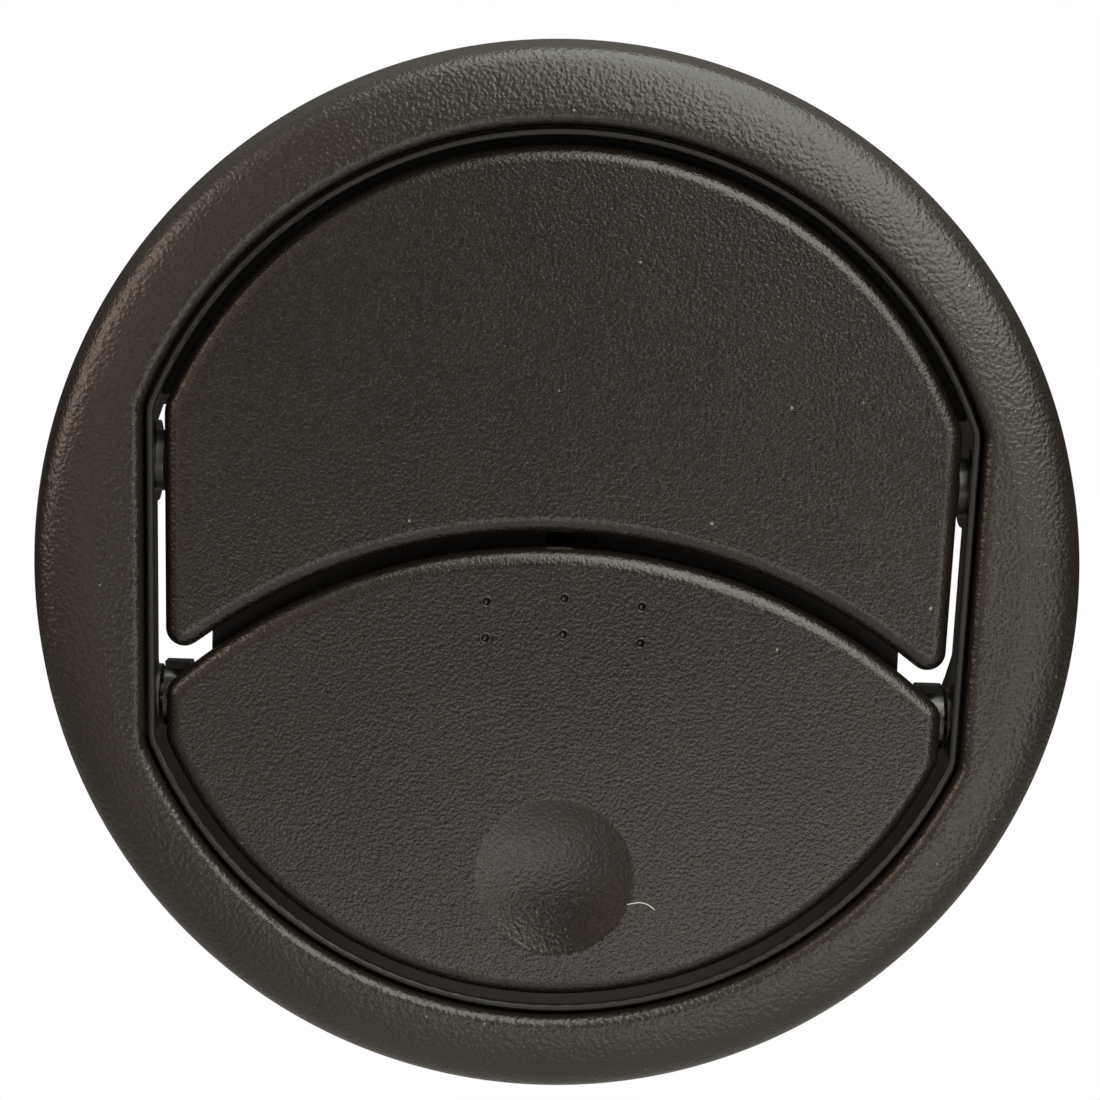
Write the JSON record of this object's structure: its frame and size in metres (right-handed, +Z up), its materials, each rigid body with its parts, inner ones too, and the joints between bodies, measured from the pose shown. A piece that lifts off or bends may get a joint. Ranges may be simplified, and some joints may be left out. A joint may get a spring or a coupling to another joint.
{
  "type": "dashboard air vent",
  "caption": "Round swivelling dashboard air vent: domed ring, crescent upper flap and lens-shaped lower flap with a thumb dish, linked, in a snap-in collar.",
  "frame": {"origin": "vent axis at the front face of the dash panel, where the collar's flange seats", "axes": "+Y along the vent axis into the dash, the front faces -Y; +Z up; +X to the right seen from the front"},
  "size_m": [0.086, 0.028, 0.086],
  "materials": {
    "bezel_plastic": "leather-grained satin",
    "flap_plastic": "fine stippled satin",
    "cage_plastic": "smooth satin",
    "collar_plastic": "as moulded",
    "link_plastic": "smooth",
    "bush_plastic": "smooth",
    "friction_rubber": "matt",
    "seal_foam": "open foam"
  },
  "bodies": {
    "collar": {"collar": "collar_plastic", "duct_seal": "seal_foam"},
    "rotor": {"bezel_ring": "bezel_plastic", "swivel_cage": "cage_plastic", "swivel_friction_ring": "friction_rubber", "upper_right_bush": "bush_plastic", "upper_left_bush": "bush_plastic", "lower_right_bush": "bush_plastic", "lower_left_bush": "bush_plastic"},
    "upper_flap": {"upper_flap": "flap_plastic"},
    "lower_flap": {"lower_flap": "flap_plastic"},
    "link": {"coupling_link": "link_plastic"}
  },
  "joints": [
    {"name": "swivel", "type": "hinge", "parent": "collar", "child": "rotor", "pos_m": [0, 0, 0], "axis": [0, 1, 0], "continuous": true},
    {"name": "upper_flap_hinge", "type": "hinge", "parent": "rotor", "child": "upper_flap", "pos_m": [0, -0.0038, 0.008], "axis": [1, 0, 0], "range_deg": [0, 85]},
    {"name": "lower_flap_hinge", "type": "hinge", "parent": "rotor", "child": "lower_flap", "pos_m": [0, -0.0038, -0.011], "axis": [1, 0, 0], "range_deg": [0, 85]},
    {"name": "link_pivot", "type": "hinge", "parent": "upper_flap", "child": "link", "pos_m": [0, 0.0012, 0.001], "axis": [1, 0, 0], "range_deg": [-85, 0]}
  ],
  "couplings": [
    {"joint": "lower_flap_hinge", "follows": "upper_flap_hinge", "ratio": 1},
    {"joint": "link_pivot", "follows": "upper_flap_hinge", "ratio": -1}
  ]
}
